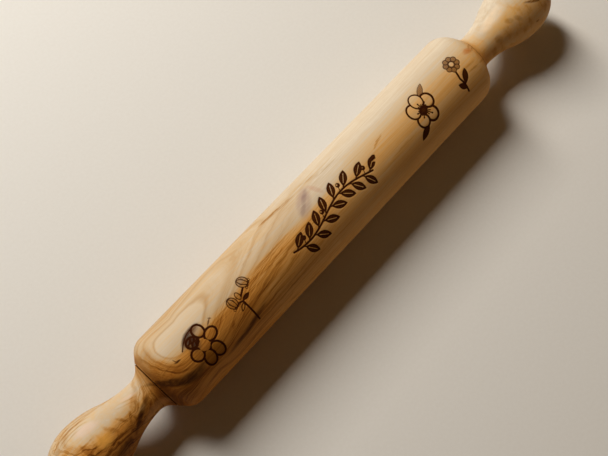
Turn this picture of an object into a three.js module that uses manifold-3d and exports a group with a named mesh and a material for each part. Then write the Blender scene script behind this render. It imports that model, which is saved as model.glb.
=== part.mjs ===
// Wooden rolling pin with a revolving barrel. A turned wooden roller runs on two sealed ball bearings,
// on a steel axle that also clamps a turned wooden handle to each end.
// Millimetres, +Z up. The pin lies along X, centred on the origin, and rests on Z = 0.

import * as THREE from 'three';
import { mergeVertices } from 'three/addons/utils/BufferGeometryUtils.js';
import Module from 'manifold-3d';

const wasm = await Module();
wasm.setup();

// Barrel
const BARREL_DIAMETER = 48;
const ROLLING_LENGTH = 244; // straight stretch between the two shoulders
const SHOULDER_RADIUS = 10.5; // round from the rolling surface into the end slope
const END_SLOPE_DEG = 50; // slope of the ogee between barrel and neck, against the axis
const END_FACE_WALL = 5.3; // wood left round the bearing seat at the end face
const SEAT_CHAMFER = 0.8; // lead-in at the mouth of the bearing seat
const AXLE_ROOM = 2; // air round the axle in the barrel's bore

// Handles
const NECK_DIAMETER = 22;
const NECK_FILLET = 9; // hollow between the ogee's slope and the neck
const GRIP_DIAMETER = 38.6; // widest part of the bulb
const NECK_TO_GRIP = 41.3; // along the axis, narrowest to widest
const GRIP_DOME = 23.5; // along the axis, widest to the tip
const PLUG_LENGTH = 11; // wooden plug in the handle's tip
const PLUG_AIR = 5; // between the plug and the axle's end

// Axle and its fasteners
const AXLE_DIAMETER = 10; // between the bearings
const THREAD_DIAMETER = 6;
const THREAD_PAST_NUT = 2;
const JOURNAL_END_GAP = 1; // the journal stops short of the recess floor, so the nut clamps the handle
const NUT_SIDES = 6;
const NUT_ACROSS_FLATS = 10;
const NUT_HEIGHT = 5;
const NUT_CHAMFER_DEG = 30;
const NUT_FACE_SHARE = 0.96; // chamfered face's diameter over the width across flats
const NUT_WASHER_DIAMETER = 12;
const NUT_WASHER_THICKNESS = 1.6;
const SOCKET_ROOM = 2; // round the washer, for the socket that turns the nut
const SPACER_WALL = 1.8; // ring that carries the handle's clamp load to the inner race

// Ball bearings: the width follows from the balls, the cage and the seals that stand side by side
const BEARING_BORE = 8;
const BEARING_OUTSIDE = 22;
const BEARING_INSET = 1.2; // below the barrel's end face
const RACE_WALL = 2; // each race, at the land beside the groove
const GROOVE_DEPTH = 0.485;
const BALL_COUNT = 7;
const CAGE_FLOOR = 0.265; // crown cage, under the balls
const CAGE_PRONG = 0.9; // crown cage, past the balls' centres
const SEAL_THICKNESS = 0.6;
const SEAL_INSET = 0.2;
const SEAL_STEP = 0.8; // step in the outer race that the seal sits in

// Clearances
const RUNNING_GAP = 0.35; // barrel to handle
const FIT = 0.15; // between pieces that seat in or against each other
const BALL_GAP = 0.13; // ball to groove
const POCKET_GAP = 0.2; // ball to cage pocket
const CAGE_LAND_GAP = 0.35; // cage to the lands
const CAGE_END_GAP = 0.25; // cage to seal
const SEAL_LIP_GAP = 0.2; // seal to the inner race

// Facets
const BARREL_SEGMENTS = 48;
const HANDLE_SEGMENTS = 36;
const RING_SEGMENTS = 28;
const ROD_SEGMENTS = 20;
const BALL_SEGMENTS = 10;
const BALL_RINGS = 6;
const ARC_STEPS = 4;
const GROOVE_STEPS = 5;
const DOME_STEPS = 6;
const WELD = 1e-4;

const WOOD = new THREE.MeshStandardMaterial({ color: 0xc9975b, roughness: 0.5, metalness: 0 });
const GRIP_WOOD = new THREE.MeshStandardMaterial({ color: 0xbf8a4e, roughness: 0.5, metalness: 0 });
const BRIGHT_STEEL = new THREE.MeshStandardMaterial({ color: 0xc6c9cc, roughness: 0.25, metalness: 1 });
const ZINC = new THREE.MeshStandardMaterial({ color: 0xa9adb0, roughness: 0.4, metalness: 1 });
const NYLON = new THREE.MeshStandardMaterial({ color: 0xe6dfcc, roughness: 0.6, metalness: 0 });
const RUBBER = new THREE.MeshStandardMaterial({ color: 0x24211f, roughness: 0.75, metalness: 0 });

// Bearing sections, measured from the axis
const innerLand = BEARING_BORE / 2 + RACE_WALL;
const outerLand = BEARING_OUTSIDE / 2 - RACE_WALL;
const pitchRadius = (innerLand + outerLand) / 2;
const ballRadius = (outerLand - innerLand) / 2 + GROOVE_DEPTH;
const grooveRadius = ballRadius + BALL_GAP;
const pocketRadius = ballRadius + POCKET_GAP;
const cageFloor = pocketRadius + CAGE_FLOOR;
const sealInside = cageFloor + CAGE_END_GAP;
const sealOutside = sealInside + SEAL_THICKNESS;
const bearingHalf = sealOutside + SEAL_INSET;
const sealSeat = outerLand + SEAL_STEP;

// Stations along the axis, from the middle of the pin towards its right-hand tip
const slope = THREE.MathUtils.degToRad(END_SLOPE_DEG);
const barrelRadius = BARREL_DIAMETER / 2;
const seatRadius = BEARING_OUTSIDE / 2 + FIT;
const endFaceRadius = seatRadius + END_FACE_WALL;
const shoulderLimit = (barrelRadius - endFaceRadius) / (1 - Math.cos(slope));
const shoulderRadius = Math.min(SHOULDER_RADIUS, shoulderLimit);
const shoulderEnd = ROLLING_LENGTH / 2 + shoulderRadius * Math.sin(slope);
const shoulderEndRadius = barrelRadius - shoulderRadius * (1 - Math.cos(slope));
const endFace = shoulderEnd + (shoulderEndRadius - endFaceRadius) / Math.tan(slope);
const bearingCentre = endFace - BEARING_INSET - bearingHalf;
const seatFloor = bearingCentre - bearingHalf - FIT;
const axleShoulder = bearingCentre - bearingHalf - FIT;

const neckRadius = NECK_DIAMETER / 2;
const gripRadius = GRIP_DIAMETER / 2;
const footFace = endFace + RUNNING_GAP;
const footRadius = endFaceRadius - RUNNING_GAP * Math.tan(slope);
const filletLimit = (footRadius - neckRadius) / (1 - Math.cos(slope));
const filletRadius = Math.min(NECK_FILLET, filletLimit);
const filletStartRadius = neckRadius + filletRadius * (1 - Math.cos(slope));
const filletStart = footFace + (footRadius - filletStartRadius) / Math.tan(slope);
const neck = filletStart + filletRadius * Math.sin(slope);
const grip = neck + NECK_TO_GRIP;
const tip = grip + GRIP_DOME;

const nutCorner = NUT_ACROSS_FLATS / 2 / Math.cos(Math.PI / NUT_SIDES);
const nutStack = 2 * FIT + NUT_WASHER_THICKNESS + NUT_HEIGHT;
const plugFace = tip - PLUG_LENGTH;
const axleEnd = plugFace - PLUG_AIR;
const recessFloor = axleEnd - THREAD_PAST_NUT - nutStack;
const recessRadius = Math.max(nutCorner, NUT_WASHER_DIAMETER / 2) + SOCKET_ROOM;
const journalRadius = BEARING_BORE / 2 - FIT;
const threadRadius = THREAD_DIAMETER / 2;

// Points of an arc or elliptic arc in the plane of axis and radius. Angle 0 points away from the axis,
// and angles grow towards the right-hand tip.
function arc(centreX, centreRadius, reachX, reachRadius, from, to, steps) {
  return Array.from({ length: steps + 1 }, (_, i) => {
    const angle = from + ((to - from) * i) / steps;
    return [centreX + reachX * Math.sin(angle), centreRadius + reachRadius * Math.cos(angle)];
  });
}

function roundArc(centreX, centreRadius, reach, from, to, steps) {
  return arc(centreX, centreRadius, reach, reach, from, to, steps);
}

// Turns a profile of [x, radius] points about the X axis, with a facet at the bottom.
// The outer side runs towards +X.
function turn(profile, segments, spread = 1) {
  const points = profile.map(([x, radius]) => new THREE.Vector2(radius * spread, x));
  return new THREE.LatheGeometry(points, segments, Math.PI / segments).rotateZ(-Math.PI / 2);
}

// A turned piece with a hole through it: the profile closes on itself.
function turnRing(profile, segments, spread = 1) {
  return turn([...profile, profile[0]], segments, spread);
}

// A plain ring between two stations.
function washer(left, right, innerRadius, outerRadius) {
  const profile = [
    [left, outerRadius],
    [right, outerRadius],
    [right, innerRadius],
    [left, innerRadius],
  ];
  return turnRing(profile, RING_SEGMENTS);
}

function toSolid(geometry) {
  const bare = geometry.clone();
  bare.deleteAttribute('normal');
  bare.deleteAttribute('uv');
  const welded = mergeVertices(bare, WELD);
  const vertProperties = welded.attributes.position.array;
  const triVerts = Uint32Array.from(welded.index.array);
  return new wasm.Manifold(new wasm.Mesh({ numProp: 3, vertProperties, triVerts }));
}

function fromSolid(solid) {
  const { vertProperties, triVerts } = solid.getMesh();
  const geometry = new THREE.BufferGeometry();
  geometry.setAttribute('position', new THREE.BufferAttribute(vertProperties, 3));
  geometry.setIndex(new THREE.BufferAttribute(triVerts, 1));
  const faceted = geometry.toNonIndexed();
  faceted.computeVertexNormals();
  return faceted;
}

function piece(name, geometry, material) {
  const mesh = new THREE.Mesh(geometry, material);
  mesh.name = name;
  return mesh;
}

// Half of the barrel's section, from the middle of its rolling surface to the floor of the bearing seat.
function barrelHalfProfile() {
  return [
    ...roundArc(ROLLING_LENGTH / 2, barrelRadius - shoulderRadius, shoulderRadius, 0, slope, ARC_STEPS),
    [endFace, endFaceRadius],
    [endFace, seatRadius + SEAT_CHAMFER],
    [endFace - SEAT_CHAMFER, seatRadius],
    [seatFloor, seatRadius],
    [seatFloor, AXLE_DIAMETER / 2 + AXLE_ROOM],
  ];
}

// The flats of the turned facets lie at the stated radii, so the pin rests at exactly its own radius.
function barrelGeometry() {
  const half = barrelHalfProfile();
  const otherHalf = half.map(([x, radius]) => [-x, radius]).reverse();
  return turnRing([...half, ...otherHalf], BARREL_SEGMENTS, 1 / Math.cos(Math.PI / BARREL_SEGMENTS));
}

// One rod: thick between the bearings, a shoulder against each inner race, journals and threaded ends.
function axleGeometry() {
  const journalEnd = recessFloor - JOURNAL_END_GAP;
  const half = [
    [axleShoulder, AXLE_DIAMETER / 2],
    [axleShoulder, journalRadius],
    [journalEnd, journalRadius],
    [journalEnd, threadRadius],
    [axleEnd, threadRadius],
    [axleEnd, 0],
  ];
  const otherHalf = half.map(([x, radius]) => [-x, radius]).reverse();
  return turn([...otherHalf, ...half], ROD_SEGMENTS);
}

// Handle: a flared foot that carries on the barrel's ogee, a hollow into the neck, two equal arcs that
// swell to the bulb, and an elliptic dome that the plug's recess cuts open.
function handleGeometry() {
  const rise = (gripRadius - neckRadius) / 2;
  const run = NECK_TO_GRIP / 2;
  const swellRadius = (run * run + rise * rise) / (2 * rise);
  const swellAngle = 2 * Math.atan(rise / run);
  const mouth = Math.acos(recessRadius / gripRadius);
  const boreRadius = journalRadius + FIT;
  const inward = Math.PI;
  const hollow = roundArc(neck, neckRadius + filletRadius, filletRadius, inward + slope, inward, ARC_STEPS);
  const lift = roundArc(neck, neckRadius + swellRadius, swellRadius, inward, inward - swellAngle, ARC_STEPS);
  const crown = roundArc(grip, gripRadius - swellRadius, swellRadius, -swellAngle, 0, ARC_STEPS);
  const dome = arc(grip, 0, GRIP_DOME, gripRadius, 0, mouth, DOME_STEPS);
  const profile = [
    [footFace, footRadius],
    ...hollow,
    ...lift.slice(1),
    ...crown.slice(1),
    ...dome.slice(1),
    [recessFloor, recessRadius],
    [recessFloor, boreRadius],
    [footFace, boreRadius],
  ];
  return turnRing(profile, HANDLE_SEGMENTS);
}

// Plug: a short cylinder in the handle's recess, with the rest of the handle's dome on its end.
function plugGeometry() {
  const radius = recessRadius - FIT;
  const rim = Math.acos(radius / gripRadius);
  const dome = arc(grip, 0, GRIP_DOME, gripRadius, rim, Math.PI / 2, ARC_STEPS);
  const profile = [[plugFace, 0], [plugFace, radius], ...dome.slice(0, -1), [tip, 0]];
  return turn(profile, HANDLE_SEGMENTS);
}

// Hexagon nut with both ends chamfered, from its washer outwards.
function nutGeometry() {
  const left = recessFloor + nutStack - NUT_HEIGHT;
  const right = left + NUT_HEIGHT;
  const faceRadius = (NUT_ACROSS_FLATS / 2) * NUT_FACE_SHARE;
  const chamfer = (nutCorner - faceRadius) * Math.tan(THREE.MathUtils.degToRad(NUT_CHAMFER_DEG));
  const bore = threadRadius + FIT;
  const corners = roundArc(0, 0, nutCorner, 0, 2 * Math.PI, NUT_SIDES);
  const hexagon = new THREE.Shape(corners.slice(0, -1).map(([x, y]) => new THREE.Vector2(x, y)));
  const prism = new THREE.ExtrudeGeometry(hexagon, { depth: NUT_HEIGHT, bevelEnabled: false });
  prism.rotateY(Math.PI / 2).translate(left, 0, 0);
  const envelope = turnRing(
    [
      [left, faceRadius],
      [left + chamfer, nutCorner],
      [right - chamfer, nutCorner],
      [right, faceRadius],
      [right, bore],
      [left, bore],
    ],
    ROD_SEGMENTS,
  );
  return fromSolid(toSolid(prism).intersect(toSolid(envelope)));
}

// Outer race: a grooved ring with a step at each side for its seal.
function outerRaceGeometry() {
  const edge = Math.acos((outerLand - pitchRadius) / grooveRadius);
  const step = sealInside - FIT;
  const groove = roundArc(bearingCentre, pitchRadius, grooveRadius, edge, -edge, GROOVE_STEPS);
  const profile = [
    [bearingCentre - bearingHalf, BEARING_OUTSIDE / 2],
    [bearingCentre + bearingHalf, BEARING_OUTSIDE / 2],
    [bearingCentre + bearingHalf, sealSeat],
    [bearingCentre + step, sealSeat],
    [bearingCentre + step, outerLand],
    ...groove,
    [bearingCentre - step, outerLand],
    [bearingCentre - step, sealSeat],
    [bearingCentre - bearingHalf, sealSeat],
  ];
  return turnRing(profile, RING_SEGMENTS);
}

// Inner race: a grooved ring on the journal.
function innerRaceGeometry() {
  const edge = Math.acos((pitchRadius - innerLand) / grooveRadius);
  const left = Math.PI + edge;
  const right = Math.PI - edge;
  const groove = roundArc(bearingCentre, pitchRadius, grooveRadius, left, right, GROOVE_STEPS);
  const profile = [
    [bearingCentre - bearingHalf, innerLand],
    ...groove,
    [bearingCentre + bearingHalf, innerLand],
    [bearingCentre + bearingHalf, BEARING_BORE / 2],
    [bearingCentre - bearingHalf, BEARING_BORE / 2],
  ];
  return turnRing(profile, RING_SEGMENTS);
}

// Where each ball sits round the axis.
function ballPlaces() {
  return Array.from({ length: BALL_COUNT }, (_, i) => {
    const angle = (2 * Math.PI * i) / BALL_COUNT;
    return new THREE.Vector3(bearingCentre, pitchRadius * Math.sin(angle), pitchRadius * Math.cos(angle));
  });
}

// Crown cage: a ring with one round pocket per ball, open on the side towards the handle.
function cageGeometry() {
  const ring = washer(
    bearingCentre - cageFloor,
    bearingCentre + CAGE_PRONG,
    innerLand + CAGE_LAND_GAP,
    outerLand - CAGE_LAND_GAP,
  );
  let cage = toSolid(ring);
  for (const place of ballPlaces()) {
    const pocket = new THREE.SphereGeometry(pocketRadius, BALL_SEGMENTS, BALL_RINGS);
    pocket.translate(place.x, place.y, place.z);
    cage = cage.subtract(toSolid(pocket));
  }
  return fromSolid(cage);
}

// Seal: a flat ring seated in the outer race's step, with a lip that runs just clear of the inner race.
function sealGeometry(side) {
  const near = bearingCentre + side * sealInside;
  const far = bearingCentre + side * sealOutside;
  return washer(Math.min(near, far), Math.max(near, far), innerLand + SEAL_LIP_GAP, sealSeat - FIT);
}

// Everything at one end of the pin, built towards +X.
function endAssembly(side) {
  const end = new THREE.Group();
  const spacerLeft = bearingCentre + bearingHalf + FIT;
  const spacerRight = footFace - FIT;
  const spacerBore = journalRadius + FIT;
  const washerLeft = recessFloor + FIT;
  const washerRight = washerLeft + NUT_WASHER_THICKNESS;
  const washerBore = threadRadius + FIT;
  const spacer = washer(spacerLeft, spacerRight, spacerBore, spacerBore + SPACER_WALL);
  const nutWasher = washer(washerLeft, washerRight, washerBore, NUT_WASHER_DIAMETER / 2);
  end.add(
    piece(`${side}_handle`, handleGeometry(), GRIP_WOOD),
    piece(`${side}_handle_plug`, plugGeometry(), GRIP_WOOD),
    piece(`${side}_axle_nut`, nutGeometry(), ZINC),
    piece(`${side}_nut_washer`, nutWasher, ZINC),
    piece(`${side}_spacer_washer`, spacer, ZINC),
    piece(`${side}_outer_race`, outerRaceGeometry(), BRIGHT_STEEL),
    piece(`${side}_inner_race`, innerRaceGeometry(), BRIGHT_STEEL),
    piece(`${side}_ball_cage`, cageGeometry(), NYLON),
    piece(`${side}_outer_seal`, sealGeometry(1), RUBBER),
    piece(`${side}_inner_seal`, sealGeometry(-1), RUBBER),
  );
  ballPlaces().forEach((place, i) => {
    const sphere = new THREE.SphereGeometry(ballRadius, BALL_SEGMENTS, BALL_RINGS);
    const ball = piece(`${side}_ball_${i + 1}`, sphere, BRIGHT_STEEL);
    ball.position.copy(place);
    end.add(ball);
  });
  return end;
}

const rollingPin = new THREE.Group();
rollingPin.position.z = barrelRadius;
rollingPin.add(piece('barrel', barrelGeometry(), WOOD));
rollingPin.add(piece('axle', axleGeometry(), ZINC));
rollingPin.add(endAssembly('right'));

const leftEnd = endAssembly('left');
leftEnd.rotation.z = Math.PI;
rollingPin.add(leftEnd);

export default rollingPin;
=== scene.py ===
"""An olive-wood rolling pin with a revolving barrel, lying on a pale table.

The barrel turns on two sealed ball bearings, on a steel axle that also clamps a turned handle to each end.
The pin lies along X and its axis stands one barrel radius above the table. Sizes in the classes are in
millimetres and become metres when a mesh is written. Places on the barrel are given as a station along the
axis and an arc round it, measured from the top towards -Y.
"""
from __future__ import annotations

import logging
import math
from dataclasses import dataclass, field
from enum import Enum
from typing import Mapping, Protocol, Sequence, Union

import bpy
import numpy as np
from mathutils import Matrix, Vector

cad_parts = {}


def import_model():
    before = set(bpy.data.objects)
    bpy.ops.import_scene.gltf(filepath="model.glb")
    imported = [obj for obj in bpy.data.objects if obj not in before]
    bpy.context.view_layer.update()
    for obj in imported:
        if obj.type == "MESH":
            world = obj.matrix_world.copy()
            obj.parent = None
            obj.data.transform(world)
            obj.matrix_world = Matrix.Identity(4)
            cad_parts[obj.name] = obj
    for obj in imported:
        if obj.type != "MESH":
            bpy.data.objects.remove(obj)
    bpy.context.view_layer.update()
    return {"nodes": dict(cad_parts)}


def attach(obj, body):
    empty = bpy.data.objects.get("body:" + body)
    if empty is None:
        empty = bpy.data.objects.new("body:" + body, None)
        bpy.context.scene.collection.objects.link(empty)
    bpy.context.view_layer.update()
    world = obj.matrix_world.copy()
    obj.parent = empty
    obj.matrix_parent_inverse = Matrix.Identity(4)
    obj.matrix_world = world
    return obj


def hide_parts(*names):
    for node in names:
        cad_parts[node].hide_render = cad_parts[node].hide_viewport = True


LOG = logging.getLogger("rolling_pin")
METRES = 0.001
BARREL_RADIUS = 24.0
AXIS_HEIGHT = BARREL_RADIUS
NOISE_MIDDLE = 0.5
MIX_FIRST = 6
MIX_SECOND = 7
MIX_RESULT = 2
UNMARKED = 4.0
SHARP_TURN = math.radians(20.0)
SHARP_EDGE = math.radians(50.0)
MOST_CUT = 0.45

Point = tuple[float, float]
Spot = Union[Point, np.ndarray]
Triple = tuple[float, float, float]
Colour = tuple[float, float, float, float]
Number = Union["Signal", float]


def paint(red: int, green: int, blue: int) -> Colour:
    """Turn a colour as a screen shows it, 0 to 255, into the linear colour that a shader takes.

    Args:
        red: red of the colour.
        green: green of the colour.
        blue: blue of the colour.

    Returns:
        The linear colour with full alpha.
    """
    shown = np.array([red, green, blue]) / 255.0
    linear = np.where(shown <= 0.04045, shown / 12.92, ((shown + 0.055) / 1.055) ** 2.4)
    return (*linear.tolist(), 1.0)


def smooth_step(low: float, high: float, values: np.ndarray) -> np.ndarray:
    """Rise smoothly from 0 at low to 1 at high: 3t^2 - 2t^3 of the clamped share t."""
    share = np.clip((values - low) / (high - low), 0.0, 1.0)
    return share * share * (3.0 - 2.0 * share)


class Signal:
    """A number on a node's socket that takes part in Python arithmetic."""

    def __init__(self, sheet: NodeSheet, socket: bpy.types.NodeSocket) -> None:
        """Keep the sheet of nodes and the socket that gives the number."""
        self.sheet = sheet
        self.socket = socket

    def _math(self, operation: str, *terms: Number) -> Signal:
        """Add one Math node on the given terms."""
        return self.sheet.signal("ShaderNodeMath", {"operation": operation}, dict(enumerate(terms)))

    def __add__(self, other: Number) -> Signal:
        """Sum."""
        return self._math("ADD", self, other)

    def __radd__(self, other: Number) -> Signal:
        """Sum, with the plain number first."""
        return self._math("ADD", other, self)

    def __sub__(self, other: Number) -> Signal:
        """Difference."""
        return self._math("SUBTRACT", self, other)

    def __rsub__(self, other: Number) -> Signal:
        """Difference from a plain number."""
        return self._math("SUBTRACT", other, self)

    def __mul__(self, other: Number) -> Signal:
        """Product."""
        return self._math("MULTIPLY", self, other)

    def __rmul__(self, other: Number) -> Signal:
        """Product, with the plain number first."""
        return self._math("MULTIPLY", other, self)

    def __truediv__(self, other: Number) -> Signal:
        """Quotient."""
        return self._math("DIVIDE", self, other)

    def most(self, other: Number) -> Signal:
        """Larger of two values."""
        return self._math("MAXIMUM", self, other)

    def soft_most(self, other: Number, width: float) -> Signal:
        """Larger of two values, with the change-over rounded over a width."""
        return self._math("SMOOTH_MAX", self, other, width)

    def size(self) -> Signal:
        """Absolute value."""
        return self._math("ABSOLUTE", self)

    def root(self) -> Signal:
        """Square root."""
        return self._math("SQRT", self)

    def sine(self) -> Signal:
        """Sine of an angle in radians."""
        return self._math("SINE", self)

    def turn_to(self, other: Number) -> Signal:
        """Angle in radians whose tangent is this over the other."""
        return self._math("ARCTAN2", self, other)

    def natural_log(self) -> Signal:
        """Logarithm to base e."""
        return self._math("LOGARITHM", self, math.e)

    def times_plus(self, factor: Number, offset: Number) -> Signal:
        """Product with a factor, plus an offset."""
        return self._math("MULTIPLY_ADD", self, factor, offset)

    def step(self, low: float, high: float, top: float = 1.0) -> Signal:
        """Rise or fall smoothly from 0 at low to a top at high."""
        sockets = {"Value": self, "From Min": low, "From Max": high, "To Min": 0.0, "To Max": top}
        settings = {"interpolation_type": "SMOOTHSTEP"}
        return self.sheet.signal("ShaderNodeMapRange", settings, sockets, "Result")

    def hump(self, centre: float, width: float) -> Signal:
        """Smooth hill of height 1 at a centre that is gone a width away from it."""
        return (self - centre).size().step(width, 0.0)


class NodeSheet:
    """The nodes of one material, with short calls for those that every finish uses."""

    def __init__(self, material: bpy.types.Material | bpy.types.World) -> None:
        """Empty the nodes of a material or of the surround."""
        self.material = material
        self.material.use_nodes = True
        self.tree = self.material.node_tree
        self.tree.nodes.clear()

    @classmethod
    def named(cls, name: str) -> NodeSheet:
        """Start an empty material of the given name."""
        return cls(bpy.data.materials.new(name))

    def node(
        self,
        kind: str,
        settings: Mapping[str, object],
        inputs: Mapping[object, object],
    ) -> bpy.types.Node:
        """Add a node, set its options first and then fill or link its sockets.

        Args:
            kind: the node's type.
            settings: options by name; stops is a list of place and colour for a ramp.
            inputs: values or signals by the socket's name or number.

        Returns:
            The new node.
        """
        made = self.tree.nodes.new(kind)
        for name, value in settings.items():
            if name == "stops":
                self._set_stops(made.color_ramp, value)
            else:
                setattr(made, name, value)
        for key, value in inputs.items():
            if isinstance(value, Signal):
                self.tree.links.new(value.socket, made.inputs[key])
            else:
                made.inputs[key].default_value = value
        return made

    def signal(
        self,
        kind: str,
        settings: Mapping[str, object],
        inputs: Mapping[object, object],
        output: int | str = 0,
    ) -> Signal:
        """Add a node as above and give the signal on one of its outputs."""
        return Signal(self, self.node(kind, settings, inputs).outputs[output])

    @staticmethod
    def _set_stops(ramp: bpy.types.ColorRamp, stops: Sequence[tuple[float, Colour]]) -> None:
        """Give a ramp its stops in rising order."""
        while len(ramp.elements) < len(stops):
            ramp.elements.new(1.0)
        for element, (place, colour) in zip(ramp.elements, stops):
            element.position = place
            element.color = colour

    def place(self) -> Signal:
        """Place on the object in millimetres, measured from the middle of the axis."""
        spot = self.signal("ShaderNodeTexCoord", {}, {}, "Object")
        scale = (1.0 / METRES, 1.0 / METRES, 1.0 / METRES)
        sockets = {0: spot, 1: scale, 2: (0.0, 0.0, -AXIS_HEIGHT)}
        return self.signal("ShaderNodeVectorMath", {"operation": "MULTIPLY_ADD"}, sockets)

    def split(self, vector: Signal) -> tuple[Signal, Signal, Signal]:
        """Give the three numbers of a vector."""
        node = self.node("ShaderNodeSeparateXYZ", {}, {0: vector})
        return tuple(Signal(self, output) for output in node.outputs)

    def stretch(self, vector: Signal, factors: Triple) -> Signal:
        """Multiply a vector by one factor per direction."""
        return self.signal("ShaderNodeVectorMath", {"operation": "MULTIPLY"}, {0: vector, 1: factors})

    def noise(self, place: Signal, grain: Triple, detail: float, roughness: float = 0.5) -> Signal:
        """Make cloudy noise about 0.

        Args:
            place: place on the object in millimetres.
            grain: lumps per millimetre in each direction.
            detail: how many finer layers it has.
            roughness: how strong each finer layer is.

        Returns:
            The noise.
        """
        vector = self.stretch(place, grain)
        sockets = {"Vector": vector, "Scale": 1.0, "Detail": detail, "Roughness": roughness}
        return self.signal("ShaderNodeTexNoise", {"noise_dimensions": "3D"}, sockets) - NOISE_MIDDLE

    def ring_noise(self, vector: Signal, ring: Signal, detail: float, roughness: float) -> Signal:
        """Noise about 0 that changes mostly with a ring's number and slowly with the place."""
        sockets = {"Vector": vector, "W": ring, "Scale": 1.0, "Detail": detail, "Roughness": roughness}
        return self.signal("ShaderNodeTexNoise", {"noise_dimensions": "4D"}, sockets) - NOISE_MIDDLE

    def attribute(self, name: str) -> Signal:
        """Number that the mesh carries at each of its points."""
        return self.signal("ShaderNodeAttribute", {"attribute_name": name}, {}, "Fac")

    def ramp(self, value: Signal, stops: Sequence[tuple[float, Colour]]) -> Signal:
        """Colour that a value takes on a ramp."""
        return self.signal("ShaderNodeValToRGB", {"stops": stops}, {0: value}, "Color")

    def blend(self, share: Number, first: object, second: object) -> Signal:
        """Mix two colours; a share of 0 keeps the first."""
        sockets = {0: share, MIX_FIRST: first, MIX_SECOND: second}
        return self.signal("ShaderNodeMix", {"data_type": "RGBA", "clamp_factor": True}, sockets, MIX_RESULT)

    def bump(self, height: Signal, strength: float, distance: float) -> Signal:
        """Normal that a height leans, with the height's full range a distance in metres."""
        sockets = {"Height": height, "Strength": strength, "Distance": distance}
        return self.signal("ShaderNodeBump", {}, sockets)

    def surface(self, sockets: Mapping[str, object]) -> Signal:
        """Surface shader that takes the given sockets."""
        return self.signal("ShaderNodeBsdfPrincipled", {}, sockets)

    def glow(self, colour: Colour) -> Signal:
        """Shader that shows a colour as it is written, whatever the light."""
        return self.signal("ShaderNodeEmission", {}, {"Color": colour})

    def layered(self, share: Number, under: Signal, over: Signal) -> Signal:
        """Mix two shaders; a share of 0 keeps the first."""
        return self.signal("ShaderNodeMixShader", {}, {0: share, 1: under, 2: over})

    def seen(self) -> Signal:
        """Give 1 where the camera looks, straight, mirrored or through a clear piece, and 0 for light."""
        path = self.node("ShaderNodeLightPath", {}, {})
        rays = ("Is Camera Ray", "Is Glossy Ray", "Is Transmission Ray")
        straight, mirrored, through = (Signal(self, path.outputs[ray]) for ray in rays)
        return straight.most(mirrored).most(through)

    def close(self, surface: Signal) -> bpy.types.Material:
        """Put a shader on the material's surface."""
        self.node("ShaderNodeOutputMaterial", {}, {"Surface": surface})
        return self.material

    def finish(self, sockets: Mapping[str, object]) -> bpy.types.Material:
        """Close the material with one surface shader that takes the given sockets."""
        return self.close(self.surface(sockets))


@dataclass(frozen=True)
class Vein:
    """A short curved line in the wood on the upper side of the pin.

    station and arc give its middle, and reach half its length along the axis. At a share t of the reach it
    lies rise t + bow t^2 further round. width is half its breadth, and depth how strongly it shows.
    """

    station: float
    arc: float
    reach: float
    rise: float
    bow: float
    width: float
    depth: float

    def cover(self, along: Signal, arc: Signal) -> Signal:
        """Give the depth on the middle of the vein, falling to 0 at its edge and at its pointed ends."""
        share = along.times_plus(1.0 / self.reach, -self.station / self.reach)
        gap = arc - share.times_plus(share.times_plus(self.bow, self.rise), self.arc)
        spread = (gap * gap).times_plus(1.0 / self.width**2, share * share)
        return spread.step(1.0, 0.0, self.depth)


@dataclass(frozen=True)
class StainOrSheen:
    """A vein that also has a colour of its own: a knot, a bark fleck, a flush, or a pale painted highlight on
    a handle.
    """

    vein: Vein
    colour: Colour


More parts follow.
